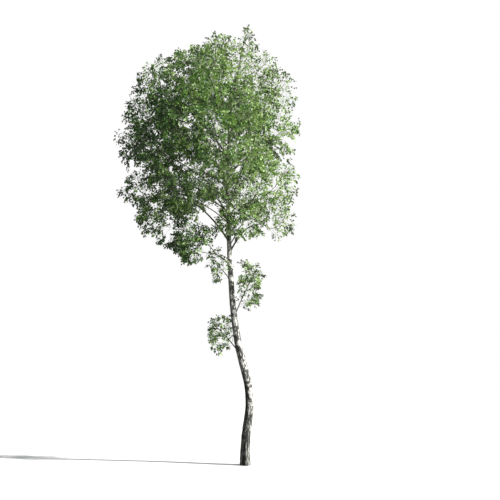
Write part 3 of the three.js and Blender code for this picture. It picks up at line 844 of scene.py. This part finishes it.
def add_noise(tree, stretch, scale, detail=4.0, roughness=0.6, distortion=0.0):
    place = tree.nodes.new("ShaderNodeTexCoord")
    mapping = set_inputs(tree.nodes.new("ShaderNodeMapping"), scale=stretch)
    pattern = tree.nodes.new("ShaderNodeTexNoise")
    set_inputs(pattern, scale=scale, detail=detail, roughness=roughness, distortion=distortion)
    tree.links.new(place.outputs["Object"], mapping.inputs["Vector"])
    tree.links.new(mapping.outputs["Vector"], pattern.inputs["Vector"])
    return pattern.outputs["Fac"]


def add_range(tree, value, low, high, to_low=0.0, to_high=1.0):
    made = tree.nodes.new("ShaderNodeMapRange")
    made.interpolation_type = "SMOOTHSTEP"
    for name, bound in (("From Min", low), ("From Max", high), ("To Min", to_low), ("To Max", to_high)):
        made.inputs[name].default_value = bound
    tree.links.new(value, made.inputs["Value"])
    return made.outputs["Result"]


def add_math(tree, operation, first, second):
    made = tree.nodes.new("ShaderNodeMath")
    made.operation = operation
    for socket, value in zip(made.inputs, (first, second)):
        if isinstance(value, (int, float)):
            socket.default_value = value
        else:
            tree.links.new(value, socket)
    return made.outputs["Value"]


def add_mix(tree, share, first, second):
    made = tree.nodes.new("ShaderNodeMix")
    made.data_type = "RGBA"
    tree.links.new(share, made.inputs["Factor"])
    for socket, value in ((made.inputs[6], first), (made.inputs[7], second)):
        if isinstance(value, tuple):
            socket.default_value = (*value, 1)
        else:
            tree.links.new(value, socket)
    return made.outputs[2]


def add_blend(tree, value, low, high, first, second):
    """The first colour where the value is low, the second where it is high."""
    return add_mix(tree, add_range(tree, value, low, high), first, second)


def add_shift(tree, value, by, low, high, at_low, at_high):
    """The value plus at_low where another is low, and plus at_high where that is high."""
    return add_math(tree, "ADD", value, add_range(tree, by, low, high, at_low, at_high))


def add_bump(tree, surface, height, strength, distance):
    bump = set_inputs(tree.nodes.new("ShaderNodeBump"), strength=strength, distance=distance)
    tree.links.new(height, bump.inputs["Height"])
    tree.links.new(bump.outputs["Normal"], surface.inputs["Normal"])


def by_camera(tree, others, seen, output):
    """Shows the camera one shader, and gives every other ray another."""
    path = tree.nodes.new("ShaderNodeLightPath")
    mixed = tree.nodes.new("ShaderNodeMixShader")
    tree.links.new(path.outputs["Is Camera Ray"], mixed.inputs["Fac"])
    tree.links.new(others, mixed.inputs[1])
    tree.links.new(seen, mixed.inputs[2])
    tree.links.new(mixed.outputs["Shader"], tree.nodes[output].inputs["Surface"])


# Colours of the trunk's bark. Pairs are its dark and its pale streaks.
WHITE, GREYED, PEELING = (0.80, 0.79, 0.75), (0.50, 0.49, 0.46), (0.40, 0.39, 0.36)
LENTICEL, PATCHED, SPECKLED = (0.07, 0.06, 0.055), (0.045, 0.045, 0.04), (0.07, 0.07, 0.065)
FURROWED = (0.028, 0.029, 0.026), (0.37, 0.375, 0.36)
CRACKED = (0.02, 0.018, 0.016)
# Painted shade for the trunk's side away from the key light, low down and higher up, each as dark and pale
# streaks.
PAINTED_SHADE_LOW = (0.018, 0.019, 0.017), (0.13, 0.13, 0.12)
PAINTED_SHADE_HIGH = (0.09, 0.09, 0.085), (0.42, 0.42, 0.39)
YOUNG_TRUNK = (0.20, 0.18, 0.15)
YOUNG_BOUGH = (0.10, 0.088, 0.075), (0.34, 0.32, 0.29)


def trunk_bark():
    """White papery bark with dark patches and lenticels, furrowed and grey near the ground."""
    material, tree, surface = new_material("trunk_bark")
    place = tree.nodes.new("ShaderNodeTexCoord")
    split = tree.nodes.new("ShaderNodeSeparateXYZ")
    tree.links.new(place.outputs["Object"], split.inputs["Vector"])
    height = split.outputs["Z"]

    # White, greyed in places, peeling in bands, with short dark dashes across.
    tint = add_noise(tree, (1, 1, 2.5), 7, 5)
    colour = add_blend(tree, tint, 0.35, 0.7, WHITE, GREYED)
    peel = add_noise(tree, (1, 1, 14), 6, 4, 0.55, 0.4)
    colour = add_blend(tree, peel, 0.54, 0.66, colour, PEELING)
    dashes = add_noise(tree, (1, 1, 9), 17, 2, 0.5)
    dash_share = add_range(tree, dashes, 0.63, 0.68)
    colour = add_mix(tree, dash_share, colour, LENTICEL)

    # Dark patches, fewer from 3.2 m up and more below 1.7 m, and specks.
    patches = add_noise(tree, (1.25, 1.25, 0.75), 9, 6, 0.66, 0.8)
    sparse = add_shift(tree, patches, height, 3.2, 3.7, 0.0, -0.08)
    sparse = add_shift(tree, sparse, height, 1.3, 1.7, 0.02, 0.0)
    colour = add_blend(tree, sparse, 0.515, 0.55, colour, PATCHED)
    specks = add_noise(tree, (1, 1, 0.7), 15, 3, 0.55, 0.6)
    colour = add_blend(tree, specks, 0.525, 0.545, colour, SPECKLED)

    # Rough and furrowed up to about 1 m.
    grain = add_noise(tree, (1.6, 1.6, 0.4), 16, 6, 0.65, 0.8)
    rough = add_blend(tree, grain, 0.42, 0.62, *FURROWED)
    crack = tree.nodes.new("ShaderNodeAttribute")
    crack.attribute_name = "crack"
    rough = add_blend(tree, crack.outputs["Fac"], 0.2, 0.75, rough, CRACKED)
    fade = add_shift(tree, height, patches, 0.3, 0.7, 0.55, -0.55)
    colour = add_blend(tree, fade, 0.75, 1.15, rough, colour)

    # Painted shade on the side towards -X, away from the key light, darkest and widest low down.
    around = tree.nodes.new("ShaderNodeNewGeometry")
    facing = tree.nodes.new("ShaderNodeSeparateXYZ")
    tree.links.new(around.outputs["Normal"], facing.inputs["Vector"])
    painted_shade = add_shift(tree, facing.outputs["X"], patches, 0.35, 0.65, 0.4, -0.4)
    painted_shade = add_shift(tree, painted_shade, height, 1.0, 2.0, -0.1, 0.28)
    painted_shade = add_shift(tree, painted_shade, height, 3.2, 3.7, 0.0, 0.2)
    painted_shade_share = add_range(tree, painted_shade, -0.08, 0.12, 1.0, 0.0)
    dark = add_blend(tree, height, 0.7, 3.8, PAINTED_SHADE_LOW[0], PAINTED_SHADE_HIGH[0])
    pale = add_blend(tree, height, 0.7, 3.8, PAINTED_SHADE_LOW[1], PAINTED_SHADE_HIGH[1])
    streaks = add_noise(tree, (1.6, 1.6, 0.5), 14, 4, 0.6, 0.8)
    painted_shade_colour = add_blend(tree, streaks, 0.50, 0.56, dark, pale)
    colour = add_mix(tree, painted_shade_share, colour, painted_shade_colour)

    # Browner where the trunk is young and thin.
    young = add_shift(tree, height, tint, 0.3, 0.7, -0.3, 0.3)
    young_share = add_range(tree, young, 4.6, 6.4, 0.0, 0.85)
    colour = add_mix(tree, young_share, colour, YOUNG_TRUNK)
    tree.links.new(colour, surface.inputs["Base Color"])
    set_inputs(surface, roughness=0.72, specular_ior_level=0.3)
    bumps = add_math(tree, "SUBTRACT", grain, add_math(tree, "MULTIPLY", dash_share, 0.5))
    add_bump(tree, surface, bumps, strength=0.6, distance=0.004)
    return material


def bough_bark():
    """Smooth grey-brown young bark with paler streaks."""
    material, tree, surface = new_material("bough_bark")
    streaks = add_noise(tree, (1, 1, 1), 24, 5, 0.6, 0.6)
    colour = add_blend(tree, streaks, 0.4, 0.65, *YOUNG_BOUGH)
    tree.links.new(colour, surface.inputs["Base Color"])
    set_inputs(surface, roughness=0.7, specular_ior_level=0.3)
    add_bump(tree, surface, streaks, strength=0.4, distance=0.002)
    return material


def twig_bark():
    """Thin olive-grey bark of the young twigs."""
    material, _, surface = new_material("twig_bark")
    set_inputs(surface, base_color=(0.16, 0.16, 0.11, 1), roughness=0.6, specular_ior_level=0.3)
    return material


THROUGH_LEAF = np.array((1.25, 1.25, 0.7))  # the colour of light through a leaf, by the leaf's own
THINNESS = 0.2  # and that light's share


def leaf_material(name, colour):
    """A thin leaf: satin on top, with light coming through it a little yellower."""
    material, tree, surface = new_material(name)
    set_inputs(surface, base_color=(*colour, 1), roughness=0.48, specular_ior_level=0.35)
    through = tree.nodes.new("ShaderNodeBsdfTranslucent")
    set_inputs(through, color=(*(THROUGH_LEAF * colour), 1))
    mixed = tree.nodes.new("ShaderNodeMixShader")
    mixed.inputs["Fac"].default_value = THINNESS
    tree.links.new(surface.outputs["BSDF"], mixed.inputs[1])
    tree.links.new(through.outputs["BSDF"], mixed.inputs[2])
    tree.links.new(mixed.outputs["Shader"], tree.nodes["Material Output"].inputs["Surface"])
    return material


# Greens of the leaves from the shaded side of the crown to the sunny one, each a plain base colour: the
# darker are painted shade, the lighter painted light.
LEAF_TONES = [
    ("leaf_deep", (0.068, 0.143, 0.054)),
    ("leaf_dark", (0.105, 0.212, 0.070)),
    ("leaf_green", (0.172, 0.335, 0.086)),
    ("leaf_fresh", (0.250, 0.455, 0.112)),
    ("leaf_bright", (0.300, 0.510, 0.142)),
    ("leaf_light", (0.362, 0.550, 0.192)),
    ("leaf_pale", (0.490, 0.655, 0.310)),
]
# Duller leaves for the crown's edge, one among the dark tones and one among the rest.
DULL_TONES = [("leaf_dull_dark", (0.062, 0.085, 0.050)), ("leaf_dull", (0.135, 0.180, 0.100))]
DARK_TONES = 2  # how many of the greens count as dark
DULL_SHARE = 0.6  # of the sprays at the crown's very edge
SHADED_AT, SUNNY_AT = -2300, 1330  # where the darkest and the lightest tone lie, to each side
TONE_SPREAD = 0.52  # by chance, as a share of all the tones
# How much darker a mass is, by its name.
SHADIER = {"left_ball": 0.35, "right_clump": 0.2, "right_low": 0.1, "left_clump": 0.2, "top": 0.3}
TOP_LIGHT = (0.36, 6600, 7600)  # how much sunnier the crown's top is, and from and to which height
LOW_LIGHT = (0.18, 5700, 4900)  # and its foot
SHADE = {"depth": 0.26, "at": (-1600, 6300), "half": (800, 1100)}  # the darkest part of the shaded side
EDGE = (0.7, 0.95)  # how far out the crown's edge begins and is full
EDGE_SHADE = (0.55, 100, 700)  # how much darker it is on the sunny side, and from and to how far there


def edge_at(points):
    return ease(joined_depth(depths(points)), *EDGE)


def tones_at(points, mass, random):
    """A tone for each place from the shaded side to the sunny one, with some chance in it: painted light and
    shade.
    """
    x, _, z = points.T
    share = (x - SHADED_AT) / (SUNNY_AT - SHADED_AT) + random.normal(0, TONE_SPREAD, len(x))
    share = share - np.array([SHADIER.get(name, 0) for name in NAMES])[mass]
    share = share + TOP_LIGHT[0] * ease(z, *TOP_LIGHT[1:]) + LOW_LIGHT[0] * ease(z, *LOW_LIGHT[1:])
    off = ((x - SHADE["at"][0]) / SHADE["half"][0]) ** 2 + ((z - SHADE["at"][1]) / SHADE["half"][1]) ** 2
    share = share - SHADE["depth"] * np.exp(-off)
    share = share - EDGE_SHADE[0] * edge_at(points) * ease(x, *EDGE_SHADE[1:])
    return np.clip((share * len(LEAF_TONES)).astype(int), 0, len(LEAF_TONES) - 1)


# ---------------- the tree

limbs, first_twigs = grow_limbs()
wood = []
for i, name in enumerate(NAMES):
    wood.append((limbs[name][1], i))
    wood += [(twig, i) for twig in first_twigs[name]]
random = np.random.default_rng(TREE_SEED)
main = growth_of(wood)
sprigs = side_growth(main, SPRIG, random)
twiglets = side_growth(sprigs, TWIGLET, random)
# The leaves of one twiglet, or those that sit on a sprig itself, are a spray, and share one tone.
sprigs.spray += len(twiglets.spray)
leaf_sets = [
    leaves_on(twiglets, LEAVES_FROM["twiglet"], random),
    leaves_on(sprigs, LEAVES_FROM["sprig"], random),
]
leaves = {key: np.concatenate([made[key] for made in leaf_sets]) for key in leaf_sets[0]}
leaves = thinned(leaves, random)
spray_at = np.concatenate([twiglets.end, sprigs.end])
# Painted light and shade: each spray's green by where it lies in the crown.
spray_tone = tones_at(spray_at, np.concatenate([twiglets.mass, sprigs.mass]), random)
dull = random.random(len(spray_tone)) < DULL_SHARE * edge_at(spray_at)
spray_tone = np.where(dull, len(LEAF_TONES) + (spray_tone >= DARK_TONES), spray_tone)
tones = spray_tone[leaves["spray"]]

leaf_materials = [leaf_material(name, colour) for name, colour in LEAF_TONES + DULL_TONES]
twig_material = twig_bark()

trunk = trunk_mesh(trunk_bark(), limbs)
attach(trunk, "root")
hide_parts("trunk")

bough_names = [name for name in NAMES if limbs[name][0]]
boughs = bough_mesh([limbs[name][0] for name in bough_names], bough_bark())
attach(boughs, "root")
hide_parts(*[f"bough_{name}" for name in bough_names])

# Leaves and twigs are joined by region, each kind apart.
REGIONS = {
    "left": ("left_",),
    "right": ("right_",),
    "front": ("front_",),
    "back": ("back_",),
    "middle": ("inner_", "top", "crest", "trunk_spray"),
}
MAIN_SIDES, FINER_SIDES = 5, 3  # of the twigs' tubes

for region, starts in REGIONS.items():
    members = [i for i, name in enumerate(NAMES) if name.startswith(starts)]
    nodes_replaced = [f"foliage_{NAMES[i]}" for i in members]
    mask = np.isin(leaves["mass"], members)
    part = {key: value[mask] for key, value in leaves.items()}
    piece = leaf_mesh(f"leaves_{region}", part, leaf_materials, tones[mask])
    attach(piece, "root")
    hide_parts(*nodes_replaced)
    vertices, triangles = [], []
    for growth, sides in ((main, MAIN_SIDES), (sprigs, FINER_SIDES), (twiglets, FINER_SIDES)):
        made, faces = tubes(growth.chosen(np.isin(growth.mass, members)), sides)
        triangles.append(faces + sum(len(v) for v in vertices))
        vertices.append(made)
    twig_piece = make_mesh(
        f"twigs_{region}", np.concatenate(vertices), np.concatenate(triangles), [twig_material], smooth=True
    )
    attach(twig_piece, "root")
    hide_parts(*nodes_replaced)

# ---------------- floor, light and camera


def stage():
    bpy.ops.mesh.primitive_circle_add(vertices=96, radius=70, fill_type="NGON", location=(0, 0, -0.001))
    floor = bpy.context.object
    floor.name = "floor"
    material, tree, surface = new_material("floor")
    set_inputs(surface, base_color=(0.86, 0.86, 0.86, 1), roughness=0.9, specular_ior_level=0.1)
    # White to the camera, but it lights the tree no more than bare ground would.
    dim = set_inputs(tree.nodes.new("ShaderNodeBsdfDiffuse"), color=(0.2, 0.2, 0.19, 1))
    by_camera(tree, dim.outputs["BSDF"], surface.outputs["BSDF"], "Material Output")
    floor.data.materials.append(material)


def sky():
    world = bpy.data.worlds.new("studio")
    bpy.context.scene.world = world
    world.use_nodes = True
    tree = world.node_tree
    fill = set_inputs(tree.nodes["Background"], color=(0.92, 0.96, 1.0, 1), strength=0.32)
    white = set_inputs(tree.nodes.new("ShaderNodeBackground"), color=(1, 1, 1, 1), strength=1.0)
    by_camera(tree, fill.outputs["Background"], white.outputs["Background"], "World Output")


def lamp(name, side, height, strength, softness, colour):
    """A sun, with its place to the viewer's right and up and its softness in degrees."""
    side, height = math.radians(side), math.radians(height)
    light = bpy.data.lights.new(name, "SUN")
    light.energy = strength
    light.angle = math.radians(softness)
    light.color = colour
    piece = bpy.data.objects.new(name, light)
    bpy.context.scene.collection.objects.link(piece)
    towards = Vector(
        (math.cos(side) * math.cos(height), -math.sin(side) * math.cos(height), math.sin(height))
    )
    piece.rotation_euler = towards.to_track_quat("Z", "Y").to_euler()


stage()
sky()
lamp("key", side=13, height=32, strength=6.8, softness=1, colour=(1.0, 0.97, 0.92))
lamp("fill", side=55, height=25, strength=1.2, softness=70, colour=(0.95, 0.98, 1.0))

# Eye level, far enough off to see the whole tree, and tilted up to its middle.
CAMERA_AT = (0.084, -10.2, 1.5)
CAMERA_TILT = math.radians(13.565)

view = bpy.data.cameras.new("camera")
view.lens = 38.45
view.sensor_width = 36
view.clip_end = 500
camera = bpy.data.objects.new("camera", view)
camera.location = CAMERA_AT
camera.rotation_euler = (math.pi / 2 + CAMERA_TILT, 0, 0)
bpy.context.scene.collection.objects.link(camera)
bpy.context.scene.camera = camera
bpy.context.scene.view_settings.view_transform = "Standard"
